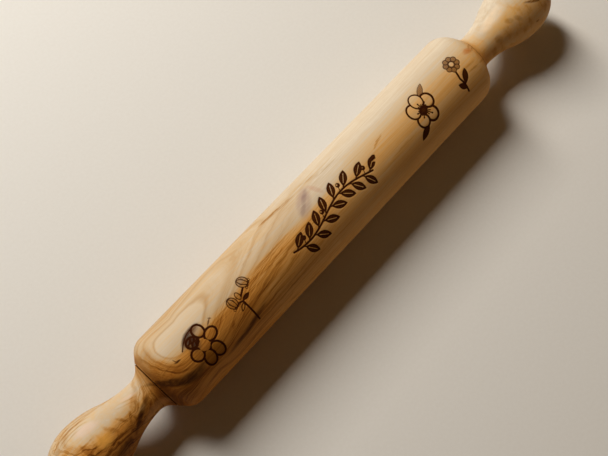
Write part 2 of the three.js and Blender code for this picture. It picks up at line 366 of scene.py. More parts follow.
@dataclass(frozen=True)
class OliveWood:
    """Oiled olive wood, worked out as a solid block that the turned pieces are cut from.

    The pith runs under the surface and comes near it at two eyes, one under the barrel's left end and one
    under the left handle. The distance from the pith, shaken by noise, gives the growth rings, so that they
    close in ovals round the eyes and run out in long points elsewhere. To the right the rings are wide and
    the grain runs straight along the axis. A brown scale from cream to near black takes heartwood and grain.
    Rings, fine lines and single veins lie over it as a shade, with painted shade added in a crease and on the
    handles' undersides. Stained patches and painted highlights have colours of their own.

    A zone is the pair of stations between which a feature comes in, a hill the middle and the reach of a
    local one, a depth the distances into the heartwood between which one comes in, and a grain the lumps
    per millimetre of a noise. Each factor in the sums is the share that its term adds.
    """

    eye_station: float = -104.0
    eye_depth: float = 0.5
    handle_eye_station: float = -172.0
    handle_eye_height: float = 15.0
    right_sink: float = 7.8
    right_sink_run: float = 8.0
    left_sink: float = 0.03
    handle_lean: float = 0.55
    handle_bluntness: float = 6.0
    handle_lift: float = 2.4
    pith_blend: float = 6.0
    pith_zone: Point = (-104.0, -70.0)
    handle_pith_zone: Point = (-140.0, -165.0)
    seam_station: float = 133.4
    # painted shade: reach over which the faces at the seam are painted dark, as the shade in the narrow gap
    joint_shade_edge: Point = (0.4, 0.2)
    drift_grain: Triple = (0.007, 0.03, 0.03)
    ripple_grain: Triple = (0.018, 0.11, 0.11)
    jitter_grain: Triple = (0.16, 0.3, 0.3)
    fibre_grain: Triple = (0.06, 1.5, 1.5)
    streak_grain: Triple = (0.02, 0.42, 0.42)
    mottle_grain: Triple = (0.24, 0.12, 0.12)
    thread_grain: Triple = (0.005, 0.5, 0.5)
    slow_grain: Triple = (0.004, 0.01, 0.01)
    ring_zone: Point = (20.0, -50.0)
    eye_zone: Point = (-55.0, -75.0)
    far_zone: Point = (0.0, 40.0)
    handle_zone: Point = (-134.0, -144.0)
    bulb_zone: Point = (-146.0, -158.0)
    tip_zone: Point = (-174.0, -184.0)
    far_handle_zone: Point = (136.0, 146.0)
    rich_zone: Point = (-52.0, -72.0)
    rim_zone: Point = (40.0, 20.0)
    collar_zone: Point = (-60.0, -90.0)
    shoulder_zone: Point = (-112.0, -126.0)
    shoulder_hill: Point = (-127.5, 9.0)
    neck_hill: Point = (-138.0, 7.0)
    bulb_hill: Point = (-155.0, 20.0)
    far_neck_hill: Point = (139.0, 9.0)
    # painted shade: middle and reach of a darker band in the crease where the barrel's left end meets its
    # handle
    crease_shade_hill: Point = (-132.0, 2.6)
    end_grain_hill: Point = (132.9, 7.0)
    heart_edge: Point = (-1.0, 0.9)
    rich_depth: Point = (0.0, 9.0)
    # painted shade: distances towards -Y between which the handles' undersides, away from the key lamp,
    # darken
    underside_shade_depth: Point = (2.0, 12.0)
    shoulder_depth: Point = (-17.0, -10.0)
    rim_middle: float = 4.0
    rim_reach: Point = (6.0, 1.0)
    calm_rings: Point = (6.5, 11.0)
    collar_rings: Point = (8.0, 13.0)
    line_rate: float = 0.42
    line_width: float = 0.036
    hair_rate: float = 1.3
    hair_width: float = 0.055
    thread_width: float = 0.035
    blotch_edge: Point = (0.0, 0.22)
    shade_cover: float = 0.65
    shade_browning: float = 0.2
    relief_strength: float = 0.25
    relief_height: float = 0.0003
    shade: Colour = paint(84, 42, 8)
    burnt_line: Colour = paint(58, 25, 9)
    burnt_tone: Colour = paint(120, 70, 12)
    raster_pitch: float = 0.9
    raster_ink: float = 0.3
    raster_tone: float = 0.16
    mark_margin: float = 2.0
    char_edge: float = 0.18
    char_heart: Point = (-0.5, -0.9)
    char_raggedness: float = 0.2
    brown_scale: tuple[tuple[float, Colour], ...] = (
        (0.0, paint(224, 212, 190)),
        (0.13, paint(206, 185, 155)),
        (0.22, paint(213, 179, 132)),
        (0.32, paint(222, 166, 95)),
        (0.44, paint(216, 147, 64)),
        (0.60, paint(193, 118, 39)),
        (0.80, paint(148, 83, 25)),
        (1.0, paint(98, 52, 16)),
    )
    ring_scale: tuple[tuple[float, float], ...] = (
        (0.0, 0.12),
        (0.10, 0.0),
        (0.19, 0.05),
        (0.212, 0.80),
        (0.23, 0.30),
        (0.27, 0.08),
        (0.315, 0.50),
        (0.335, 0.28),
        (0.362, 0.14),
        (0.372, 0.55),
        (0.39, 0.18),
        (0.412, 0.22),
        (0.422, 0.66),
        (0.445, 0.38),
        (0.48, 0.64),
        (0.50, 0.35),
        (0.56, 0.55),
        (0.62, 0.30),
        (0.76, 0.20),
        (1.0, 0.20),
    )
    ring_reach: float = 40.0
    veins: tuple[Vein, ...] = (
        Vein(-117.0, 11.4, 11.0, 6.2, -4.4, 1.2, 0.30),
        Vein(-113.0, 20.5, 14.0, 3.0, -1.0, 1.8, 0.26),
        Vein(-79.0, 21.6, 18.0, -3.7, -1.1, 1.4, 0.30),
        Vein(-55.0, 11.8, 17.0, -2.6, 0.6, 1.2, 0.30),
        Vein(-83.5, 12.5, 2.2, -1.6, 0.0, 1.8, 0.42),
        Vein(-60.0, 6.2, 36.0, -10.1, 4.4, 0.8, 0.26),
        Vein(-62.0, 8.6, 34.0, -9.4, 3.6, 0.7, 0.22),
        Vein(-58.0, 10.6, 32.0, -8.6, 3.4, 0.9, 0.28),
        Vein(-57.0, 3.9, 32.0, -8.0, 4.4, 0.7, 0.20),
        Vein(-45.0, 0.6, 26.0, -0.6, 0.0, 0.8, 0.22),
        Vein(-22.0, -15.9, 16.0, 1.6, 0.0, 1.4, 0.58),
        Vein(10.0, -12.6, 19.0, 5.0, -3.4, 1.7, 0.16),
        Vein(-4.0, -13.0, 38.0, 2.6, 0.0, 7.0, 0.13),
        Vein(46.0, 0.6, 6.0, -1.8, 0.0, 1.2, 0.46),
        Vein(58.0, 13.1, 15.0, -0.2, 0.0, 0.9, 0.24),
        Vein(130.5, 2.2, 6.5, -2.6, -2.2, 1.0, 0.42),
        Vein(132.0, 2.4, 4.5, -0.4, 0.0, 0.7, 0.30),
        Vein(120.5, 11.6, 6.0, 0.2, 0.0, 0.8, 0.34),
        Vein(131.0, 13.6, 6.5, 2.6, 0.6, 1.0, 0.34),
        Vein(118.5, 8.4, 6.5, 0.4, 0.0, 0.7, 0.22),
        Vein(-152.0, 17.0, 9.0, -11.0, 1.0, 2.6, 0.40),
        Vein(-170.0, 12.8, 7.5, -1.8, -1.2, 1.6, 0.62),
        Vein(-165.0, 4.0, 3.0, 5.5, 0.0, 4.5, 0.40),
        Vein(-180.0, -1.6, 7.5, 0.8, 0.8, 1.2, 0.55),
        Vein(-177.0, 4.5, 3.6, -1.6, 0.0, 2.0, 0.50),
        Vein(-158.0, 5.0, 2.6, 6.0, 0.0, 3.6, 0.42),
        Vein(-154.0, 9.0, 2.6, -5.5, 0.0, 3.4, 0.40),
        Vein(-181.0, -18.6, 15.0, -1.0, 2.6, 1.0, 0.55),
        Vein(-180.0, -15.4, 12.0, -0.6, 2.2, 0.9, 0.42),
        Vein(-180.0, -12.6, 9.0, -0.4, 1.8, 0.8, 0.34),
        Vein(-180.0, -22.0, 16.0, -1.0, 2.6, 1.0, 0.40),
        Vein(-149.0, -6.0, 7.0, 5.5, 0.0, 1.2, 0.20),
        Vein(-152.0, -4.0, 7.0, 5.5, 0.0, 1.2, 0.20),
        Vein(182.5, 10.5, 5.5, 4.6, 0.0, 1.4, 0.55),
        Vein(179.0, 26.4, 1.8, 0.4, 0.0, 1.6, 0.55),
    )
    stains_and_sheens: tuple[StainOrSheen, ...] = (
        StainOrSheen(Vein(-121.5, 14.8, 20.0, 10.7, -13.2, 4.1, 0.95), paint(60, 28, 5)),
        StainOrSheen(Vein(-79.0, 21.4, 20.0, -4.0, -1.1, 2.4, 0.75), paint(78, 38, 6)),
        StainOrSheen(Vein(-148.5, 15.0, 11.0, -12.0, 1.0, 4.6, 0.85), paint(68, 31, 4)),
        StainOrSheen(Vein(-168.0, 23.0, 9.0, -1.0, 0.0, 5.5, 0.55), paint(84, 42, 8)),
        StainOrSheen(Vein(-143.0, 26.0, 12.0, -4.5, 0.0, 8.0, 0.75), paint(222, 158, 90)),
        StainOrSheen(Vein(-170.6, 5.8, 6.0, 0.6, 0.0, 6.6, 0.85), paint(226, 160, 70)),
        StainOrSheen(Vein(-104.0, -0.6, 9.4, -2.6, 2.2, 3.0, 0.95), paint(72, 45, 31)),
        StainOrSheen(Vein(-105.2, 3.4, 5.2, -0.6, 0.0, 7.0, 0.95), paint(56, 40, 34)),
        StainOrSheen(Vein(-8.4, -6.2, 9.4, -6.2, 0.4, 7.0, 0.85), paint(172, 143, 122)),
        StainOrSheen(Vein(-6.4, -7.8, 6.0, -3.8, 0.0, 2.2, 0.40), paint(124, 100, 90)),
        StainOrSheen(Vein(-11.4, -3.6, 4.6, -3.0, 0.0, 2.2, 0.40), paint(126, 100, 86)),
        StainOrSheen(Vein(1.6, -6.8, 2.8, 4.4, 0.0, 5.0, 0.60), paint(190, 150, 122)),
        # painted highlight: pale pink sheen on the top of the left handle's bulb
        StainOrSheen(Vein(-173.0, -9.0, 8.5, 1.0, 0.0, 5.5, 0.75), paint(216, 188, 164)),
        StainOrSheen(Vein(-148.0, -9.0, 6.0, 3.0, 0.0, 3.0, 0.45), paint(216, 186, 160)),
        StainOrSheen(Vein(125.6, 1.6, 4.8, 0.4, 0.0, 2.4, 0.80), paint(198, 116, 44)),
        StainOrSheen(Vein(131.0, -1.4, 5.4, -3.2, 0.8, 1.3, 0.60), paint(176, 112, 46)),
        # painted highlight: pale sheen on the top of the right handle
        StainOrSheen(Vein(158.0, -6.0, 13.0, 0.0, 0.0, 9.0, 0.60), paint(242, 216, 180)),
        StainOrSheen(Vein(160.0, 5.0, 16.0, 0.6, 0.0, 8.0, 0.55), paint(230, 174, 92)),
        StainOrSheen(Vein(152.5, 16.0, 3.4, 0.4, 0.0, 6.0, 0.40), paint(120, 62, 12)),
        StainOrSheen(Vein(163.5, 8.6, 3.0, 2.0, 0.0, 3.6, 0.50), paint(160, 100, 26)),
        StainOrSheen(Vein(168.5, 12.4, 2.6, 2.4, 0.0, 4.0, 0.40), paint(140, 84, 20)),
        StainOrSheen(Vein(182.0, 10.8, 6.4, 5.0, 0.0, 1.5, 0.75), paint(92, 48, 6)),
        StainOrSheen(Vein(-117.4, 4.9, 2.6, 0.6, 0.0, 0.8, 0.95), paint(66, 32, 10)),
        StainOrSheen(Vein(-118.0, 4.2, 0.9, 1.8, 0.0, 1.0, 0.85), paint(72, 38, 14)),
        StainOrSheen(Vein(-91.6, 1.9, 2.6, -1.5, 0.0, 0.8, 0.95), paint(66, 32, 10)),
        StainOrSheen(Vein(-89.9, 1.0, 1.0, 1.0, 0.0, 0.8, 0.80), paint(72, 38, 14)),
    )

    def material(self, name: str) -> bpy.types.Material:
        """Make the wood as a material; where the mesh carries no marks it stays bare.

        Args:
            name: name of the material.

        Returns:
            The material.
        """
        sheet = NodeSheet.named(name)
        place = sheet.place()
        along, across, up = sheet.split(place)
        drift = sheet.noise(place, self.drift_grain, 2.0)
        ripple = sheet.noise(place, self.ripple_grain, 3.0)
        jitter = sheet.noise(place, self.jitter_grain, 2.0)
        fibre = sheet.noise(place, self.fibre_grain, 3.0, 0.6)
        streak = sheet.noise(place, self.streak_grain, 3.0)
        arc = (0.0 - across).turn_to(up) * BARREL_RADIUS
        wavy_arc = arc + 2.6 * jitter + 1.0 * streak
        broken = 0.9 + 3.0 * fibre + 1.6 * jitter + 1.4 * streak
        brown, shade = self._figure(sheet, place, (along, across, up), (drift, ripple, jitter, streak), fibre)
        veins = sum((vein.cover(along, wavy_arc) for vein in self.veins), start=0.0)
        shade = shade + veins * broken
        plain = sheet.ramp(brown + self.shade_browning * shade, self.brown_scale)
        colour = sheet.blend(self.shade_cover * shade, plain, self.shade)
        patchy = 0.95 + 0.9 * fibre + 1.2 * jitter
        calm_arc = arc + 1.2 * jitter
        # lay the stained patches and the painted highlights on the handles over the colour
        for stain_or_sheen in self.stains_and_sheens:
            colour = sheet.blend(stain_or_sheen.vein.cover(along, calm_arc) * patchy, colour, stain_or_sheen.colour)
        relief = sheet.bump(fibre + 0.4 * streak, self.relief_strength, self.relief_height)
        wood = sheet.surface(
            {
                "Base Color": colour,
                "Roughness": 0.52 + 0.25 * fibre,
                "Normal": relief,
                "Specular IOR Level": 0.06,
            }
        )
        # painted shade: 1 on the faces at the seam, painted dark as the shade in the narrow gap
        joint_shade = (along.size() - self.seam_station).size().step(*self.joint_shade_edge)
        return sheet.close(self._burn(sheet, wood, arc, fibre, joint_shade))

    def _figure(
        self,
        sheet: NodeSheet,
        place: Signal,
        axes: tuple[Signal, Signal, Signal],
        noises: tuple[Signal, Signal, Signal, Signal],
        fibre: Signal,
    ) -> tuple[Signal, Signal]:
        """Add up heartwood and grain on the brown scale, and rings and fine lines as a shade over it.

        Args:
            sheet: the nodes that it joins.
            place: place on the pin.
            axes: the place along, across and over the axis.
            noises: drift, ripple, jitter and streak, from wide to narrow.
            fibre: the finest noise.

        Returns:
            The brown of the plain wood and its shade.
        """
        along, across, up = axes
        drift, ripple, jitter, streak = noises
        ringed = along.step(*self.ring_zone)
        handle = along.step(*self.handle_zone)
        far_handle = along.step(*self.far_handle_zone)
        mottle = sheet.noise(place, self.mottle_grain, 2.0)
        shake = 3.2 * drift + 2.2 * ripple + 0.8 * jitter + handle * (2.6 * mottle + 0.8 * jitter)
        rings = self._rings(along, across, up, shake)
        slow = sheet.stretch(place, self.slow_grain)
        eye = along.step(*self.eye_zone)
        far = along.step(*self.far_zone)
        neck = 8.0 * along.hump(*self.shoulder_hill) + 2.0 * along.hump(*self.neck_hill)
        grip = 2.4 * along.step(*self.bulb_zone) + 5.0 * along.step(*self.tip_zone)
        lower = 6.0 * drift + 4.0 * ripple + 3.0 * streak - across
        blur = 4.0 + 3.0 * eye + 8.0 * far
        heart = ((lower + neck + grip - 3.0 * eye + far) / blur).step(*self.heart_edge)
        rich = lower.step(*self.rich_depth) * along.step(*self.rich_zone)
        # painted shade: darker on the handles' side away from the key lamp
        underside_shade = lower.step(*self.underside_shade_depth)
        rim = (lower - self.rim_middle).size().step(*self.rim_reach)
        rim = rim * along.step(*self.rim_zone) * (1.0 - handle)
        band = self._band(sheet, rings) * ringed
        calm = rings.step(*self.calm_rings) * ringed
        line_gap = sheet.ring_noise(slow, rings * self.line_rate, 3.0, 0.62).size()
        lines = line_gap.step(self.line_width, 0.0) * calm
        hair_gap = sheet.ring_noise(slow, rings * self.hair_rate, 2.0, 0.6).size()
        hairs = hair_gap.step(self.hair_width, 0.0) * calm
        grain = sheet.noise(place, self.thread_grain, 3.0, 0.6)
        threads = grain.size().step(self.thread_width, 0.0) * (1.0 - 0.7 * far_handle)
        blotch = mottle.step(*self.blotch_edge) * heart
        shoulder = along.step(*self.shoulder_zone) * lower.step(*self.shoulder_depth)
        round_eye = 0.08 * along.step(*self.collar_zone) + 0.29 * shoulder
        collar = rings.step(*self.collar_rings) * round_eye
        # painted shade: a darker band in the crease where the barrel's left end meets its handle
        crease_shade = along.hump(*self.crease_shade_hill)
        end_grain = along.size().hump(*self.end_grain_hill)
        brown = (
            0.11
            + 0.03 * ringed
            + 0.21 * heart
            - 0.03 * far_handle
            + 0.06 * along.hump(*self.far_neck_hill)
            + 0.08 * rich
            + 0.10 * end_grain
            + grain * (0.07 + 0.05 * heart)
            + mottle * (0.03 + 0.13 * far_handle + 0.12 * handle)
            + 0.17 * fibre
            + 0.12 * streak
        )
        shade = (
            0.05 * ringed
            + 0.10 * along.hump(*self.bulb_hill)
            + band * (0.58 - 0.30 * heart)
            + lines * (0.10 + 0.27 * heart + 0.36 * handle)
            + hairs * (0.05 + 0.18 * heart + 0.22 * handle)
            + threads * (0.03 + 0.12 * heart + 0.22 * rim)
            + blotch * (0.50 * handle + 0.28 * far_handle)
            + collar * (1.0 - handle)
            # painted shade on the handles' undersides
            + underside_shade * (0.10 * far_handle + 0.12 * handle)
            # painted shade in the crease at the left seam
            + 0.30 * crease_shade
        )
        return brown, shade

    def _rings(self, along: Signal, across: Signal, up: Signal, shake: Signal) -> Signal:
        """Work out the distance from the pith in millimetres.

        The pith sinks as a logarithm to the right of the barrel's eye and as a square to its left, where
        the handle's own eye takes over by a rounded maximum.

        Args:
            along: place along the axis.
            across: place across the axis.
            up: height over the axis.
            shake: noise that shifts the rings, in millimetres.

        Returns:
            The distance from the pith.
        """
        right_run = (along - self.eye_station).most(0.0)
        left_run = (self.eye_station - along).most(0.0)
        sink = self.right_sink * (right_run / self.right_sink_run + 1.0).natural_log()
        sink = sink + self.left_sink * left_run * left_run
        barrel_pith = (BARREL_RADIUS - self.eye_depth) - sink
        handle_run = (along - self.handle_eye_station) * self.handle_lean
        handle_sink = (handle_run * handle_run + self.handle_bluntness).root() - self.handle_lift
        height = barrel_pith.soft_most(self.handle_eye_height - handle_sink, self.pith_blend)
        side = 4.0 + 3.2 * along.step(*self.pith_zone) + 1.2 * along.step(*self.handle_pith_zone)
        rise = up - height
        reach = across - side
        return (rise * rise + reach * reach).root() + shake

    def _band(self, sheet: NodeSheet, rings: Signal) -> Signal:
        """Give the broad brown bands that lie at set distances from the pith."""
        stops = tuple((place, (value, value, value, 1.0)) for place, value in self.ring_scale)
        return sheet.ramp(rings / self.ring_reach, stops)

    def _burn(self, sheet: NodeSheet, wood: Signal, arc: Signal, fibre: Signal, joint_shade: Signal) -> Signal:
        """Lay the burnt ornaments over the wood, and the seam faces painted dark as the shade in the gap.

        The burning leaves a fine raster of lines in the ornaments.

        Args:
            sheet: the nodes that it joins.
            wood: surface of the bare wood.
            arc: place round the axis.
            fibre: fine noise along the grain.
            joint_shade: 1 on the faces that meet at the seam, painted dark as the shade in the gap.

        Returns:
            The surface with the ornaments.
        """
        edge = self.mark_margin - sheet.attribute("char") + self.char_raggedness * fibre
        tone = sheet.attribute("scorch")
        raster = (arc * (2.0 * math.pi / self.raster_pitch)).sine() * 0.5 + 0.5
        inner = edge.step(*self.char_heart)
        ink = sheet.blend(self.raster_ink * raster * inner, self.burnt_line, self.burnt_tone)
        # the seam faces take the dark char colour as painted shade in the gap
        dark = edge.step(self.char_edge, -self.char_edge).most(joint_shade)
        charred = sheet.blend(dark, self.burnt_tone, ink)
        char = sheet.surface({"Base Color": charred, "Roughness": 0.9, "Specular IOR Level": 0.0})
        hatched = tone * ((1.0 - self.raster_tone) + self.raster_tone * raster)
        return sheet.layered(dark.most(hatched), wood, char)


@dataclass(frozen=True)
class Metal:
    """Worked steel with fine turning marks round the axis and a faint cloudiness."""

    tint: Colour
    shade: Colour
    roughness: float
    mark_pitch: float
    mark_height: float = 0.00002
    cloud_grain: Triple = (0.4, 0.4, 0.4)

    def material(self, name: str) -> bpy.types.Material:
        """Make the metal as a material of the given name."""
        sheet = NodeSheet.named(name)
        place = sheet.place()
        along, _, _ = sheet.split(place)
        cloud = sheet.noise(place, self.cloud_grain, 3.0)
        marks = (along * (2.0 * math.pi / self.mark_pitch) + 6.0 * cloud).sine()
        return sheet.finish(
            {
                "Base Color": sheet.blend(0.5 + cloud, self.tint, self.shade),
                "Metallic": 1.0,
                "Roughness": self.roughness + 0.12 * cloud + 0.02 * marks,
                "Normal": sheet.bump(marks, 0.1, self.mark_height),
            }
        )


@dataclass(frozen=True)
class Moulded:
    """Moulded plastic or rubber: an even colour with a slight mottle and a fine skin."""

    tint: Colour
    shade: Colour
    roughness: float
    skin: float
    skin_height: float = 0.00004
    skin_grain: Triple = (6.0, 6.0, 6.0)
    mottle_grain: Triple = (0.6, 0.6, 0.6)

    def material(self, name: str) -> bpy.types.Material:
        """Make the moulding as a material of the given name."""
        sheet = NodeSheet.named(name)
        place = sheet.place()
        mottle = sheet.noise(place, self.mottle_grain, 3.0)
        skin = sheet.noise(place, self.skin_grain, 2.0)
        return sheet.finish(
            {
                "Base Color": sheet.blend(0.5 + mottle, self.tint, self.shade),
                "Roughness": self.roughness + 0.2 * skin,
                "Normal": sheet.bump(skin, self.skin, self.skin_height),
            }
        )


@dataclass(frozen=True)
class Plane:
    """The barrel's surface rolled out flat, with distances to simple marks on it in millimetres.

    A distance is negative inside a mark. along is the station and around the arc of every grid point.
    """

    along: np.ndarray
    around: np.ndarray
    leaf_fullness: float = 0.8
    leaf_edge: float = 0.85

    def disc(self, centre: Spot, radius: float) -> np.ndarray:
        """Distance to a disc: the distance to its centre less its radius."""
        return np.hypot(self.along - centre[0], self.around - centre[1]) - radius

    def oval(self, centre: Point, reach: Point, lean: float = 0.0) -> np.ndarray:
        """Near distance to an ellipse: k (k - 1) over its slope, k being the radius scaled by the reach.

        Args:
            centre: middle of the ellipse.
            reach: half its length and half its width.
            lean: turn of its length from the axis, in degrees.

        Returns:
            The distance at every grid point.
        """
        turn = math.radians(lean)
        run = self.along - centre[0]
        drop = self.around - centre[1]
        first = run * math.cos(turn) + drop * math.sin(turn)
        second = drop * math.cos(turn) - run * math.sin(turn)
        scaled = np.hypot(first / reach[0], second / reach[1])
        slope = np.hypot(first / reach[0] ** 2, second / reach[1] ** 2)
        return scaled * (scaled - 1.0) / np.maximum(slope, 1e-6)

    def stroke(self, path: Sequence[Spot], width: float) -> np.ndarray:
        """Distance to a line drawn through points: the least distance to its stretches less half its width.

        Args:
            path: points of the line.
            width: width of the line.

        Returns:
            The distance at every grid point.
        """
        nearest = np.full(self.along.shape, np.inf)
        for start, end in zip(path[:-1], path[1:]):
            run = np.subtract(end, start)
            share = (self.along - start[0]) * run[0] + (self.around - start[1]) * run[1]
            share = np.clip(share / run.dot(run), 0.0, 1.0)
            gap = np.hypot(self.along - start[0] - share * run[0], self.around - start[1] - share * run[1])
            nearest = np.minimum(nearest, gap)
        return nearest - width / 2

    def leaf(self, base: Spot, tip: Spot, width: float) -> np.ndarray:
        """Near distance to a leaf: the distance to its midrib less half a width that swells as a sine.

        Args:
            base: foot of the leaf.
            tip: point of the leaf.
            width: its full width at the middle.

        Returns:
            The distance at every grid point.
        """
        run = np.subtract(tip, base)
        length = math.hypot(*run)
        share = ((self.along - base[0]) * run[0] + (self.around - base[1]) * run[1]) / length**2
        aside = np.abs((self.along - base[0]) * run[1] - (self.around - base[1]) * run[0]) / length
        inside = np.clip(share, 0.0, 1.0)
        gap = aside - width / 2 * np.sin(np.pi * inside) ** self.leaf_fullness
        past = np.abs(share - inside) * length
        return np.hypot(past, np.maximum(gap, 0.0)) + np.minimum(gap, 0.0) * self.leaf_edge


@dataclass
class Marks:
    """What is burnt into the barrel: the distance to the dark marks and the strength of the lighter tone."""

    line: np.ndarray
    tone: np.ndarray
    clear_edge: float = 0.2
    tint_edge: float = 0.25

    @staticmethod
    def none(plane: Plane) -> Marks:
        """Start with nothing burnt."""
        return Marks(np.full(plane.along.shape, UNMARKED), np.zeros(plane.along.shape))

    def draw(self, shape: np.ndarray) -> None:
        """Add a dark mark: the nearer of the two distances."""
        self.line = np.minimum(self.line, shape)

    def outline(self, shape: np.ndarray, width: float) -> None:
        """Lay a closed form over what is there: clear its inside and draw its edge."""
        self.clear(shape)
        self.draw(np.abs(shape) - width / 2)

    def clear(self, shape: np.ndarray) -> None:
        """Leave the inside of a form bare."""
        self.line = np.maximum(self.line, -shape)
        self.tone = self.tone * smooth_step(-self.clear_edge, self.clear_edge, shape)

    def tint(self, shape: np.ndarray, strength: float) -> None:
        """Tone the inside of a form."""
        inside = smooth_step(self.tint_edge, -self.tint_edge, shape)
        self.tone = np.maximum(self.tone, strength * inside)


class Ornament(Protocol):
    """Something burnt into the barrel."""

    def burn(self, plane: Plane, marks: Marks) -> None:
        """Add the ornament's marks."""


@dataclass(frozen=True)
class SixPetalFlower:
    """Six loose petals, each outlined by hand, round a bare disc, with one petal shaded dark."""

    centre: Point = (-101.6, 9.2)
    disc_radius: float = 3.1
    outline_width: float = 1.3
    scribble_width: float = 0.8
    smear_width: float = 0.7
    petals: tuple[tuple[Point, Point, float, float], ...] = (
        ((-98.9, 1.4), (3.1, 3.8), -10.0, 0.4),
        ((-95.2, 7.2), (3.9, 3.2), -15.0, 0.12),
        ((-97.6, 15.9), (3.3, 4.8), -8.0, 0.7),
        ((-103.7, 16.4), (3.3, 4.8), 10.0, 0.75),
        ((-107.6, 10.4), (3.4, 3.6), -20.0, 0.3),
    )
    shaded_petal: tuple[Point, Point, float] = ((-105.2, 3.6), (3.5, 2.9), 15.0)
    scribble: tuple[Point, ...] = (
        (-108.4, 4.2),
        (-104.4, 1.2),
        (-106.8, 5.6),
        (-102.6, 2.0),
        (-104.6, 6.2),
        (-102.2, 4.2),
        (-107.8, 3.0),
    )
    smear: tuple[Point, ...] = ((-112.0, 3.2), (-108.6, 0.4), (-104.0, -1.8), (-99.5, -2.4), (-96.5, -1.6))

    def burn(self, plane: Plane, marks: Marks) -> None:
        """Draw the smear behind the flower, the petals one over the other, and clear the disc."""
        marks.draw(plane.stroke(self.smear, self.smear_width))
        for middle, reach, lean, strength in self.petals:
            shape = plane.oval(middle, reach, lean)
            marks.outline(shape, self.outline_width)
            marks.tint(shape, strength)
        marks.outline(plane.oval(*self.shaded_petal), self.outline_width)
        marks.draw(plane.stroke(self.scribble, self.scribble_width))
        marks.clear(plane.disc(self.centre, self.disc_radius))


@dataclass(frozen=True)
class BudSprig:
    """A thin stem with two open buds, a closed one between them, and two small leaves."""

    stems: tuple[tuple[tuple[Point, ...], float], ...] = (
        (((-71.0, 22.4), (-70.9, 16.0), (-71.0, 8.0)), 1.1),
        (((-70.4, 5.4), (-66.2, 2.8)), 1.2),
        (((-71.0, 7.8), (-74.0, 6.8)), 1.0),
    )
    buds: tuple[tuple[Point, Point, float], ...] = (
        ((-76.0, 4.6), (3.4, 2.7), 80.0),
        ((-64.2, 0.3), (3.4, 2.8), 60.0),
    )
    closed_bud: tuple[Point, Point] = ((-71.2, 3.9), (1.2, 2.2))
    dark_leaf: tuple[Point, Point, float] = ((-71.0, 7.6), (-65.4, 6.8), 2.6)
    folded_leaf: tuple[Point, Point, float] = ((-71.2, 8.6), (-75.0, 11.6), 1.7)
    line_width: float = 0.6
    bud_tone: float = 0.5
    closed_tone: float = 0.35
    inner_share: Point = (0.9, 0.42)
    rib_sides: Point = (-0.7, 0.7)
    rib_top: Point = (-0.35, 0.9)
    rib_foot: Point = (0.8, 0.4)
    rib_width: float = 0.4
    frill_sides: tuple[float, ...] = (-0.8, -0.3, 0.3, 0.8)
    frill_foot: float = 0.95
    frill_radius: float = 0.6
    frill_line: float = 0.44

    def burn(self, plane: Plane, marks: Marks) -> None:
        """Draw the stem, the buds with their inner petals, and the leaves."""
        for path, width in self.stems:
            marks.draw(plane.stroke(path, width))
        for middle, reach, lean in self.buds:
            self._bud(plane, marks, middle, reach, lean)
        closed = plane.oval(*self.closed_bud)
        marks.outline(closed, self.line_width)
        marks.tint(closed, self.closed_tone)
        marks.draw(plane.leaf(*self.dark_leaf))
        marks.outline(plane.leaf(*self.folded_leaf), self.line_width)

    def _bud(self, plane: Plane, marks: Marks, middle: Point, reach: Point, lean: float) -> None:
        """Draw one bud: an oval, a smaller one inside it, two ribs and a frill at its foot.

        Args:
            plane: the rolled-out surface.
            marks: the marks to add to.
            middle: middle of the bud.
            reach: half its length and half its width.
            lean: direction of its length, in degrees from the axis.
        """
        turn = math.radians(lean)
        lengthways = reach[0] * np.array((math.cos(turn), math.sin(turn)))
        sideways = reach[1] * np.array((-math.sin(turn), math.cos(turn)))
        outer = plane.oval(middle, reach, lean)
        marks.outline(outer, self.line_width)
        marks.tint(outer, self.bud_tone)
        inner = plane.oval(middle, (reach[0] * self.inner_share[0], reach[1] * self.inner_share[1]), lean)
        marks.draw(np.abs(inner) - self.line_width / 2)
        for side in self.rib_sides:
            top = middle + lengthways * self.rib_top[0] + sideways * side * self.rib_top[1]
            foot = middle + lengthways * self.rib_foot[0] + sideways * side * self.rib_foot[1]
            marks.draw(plane.stroke((top, foot), self.rib_width))
        for side in self.frill_sides:
            frill = middle + lengthways * self.frill_foot + sideways * side
            marks.draw(np.abs(plane.disc(frill, self.frill_radius)) - self.frill_line / 2)


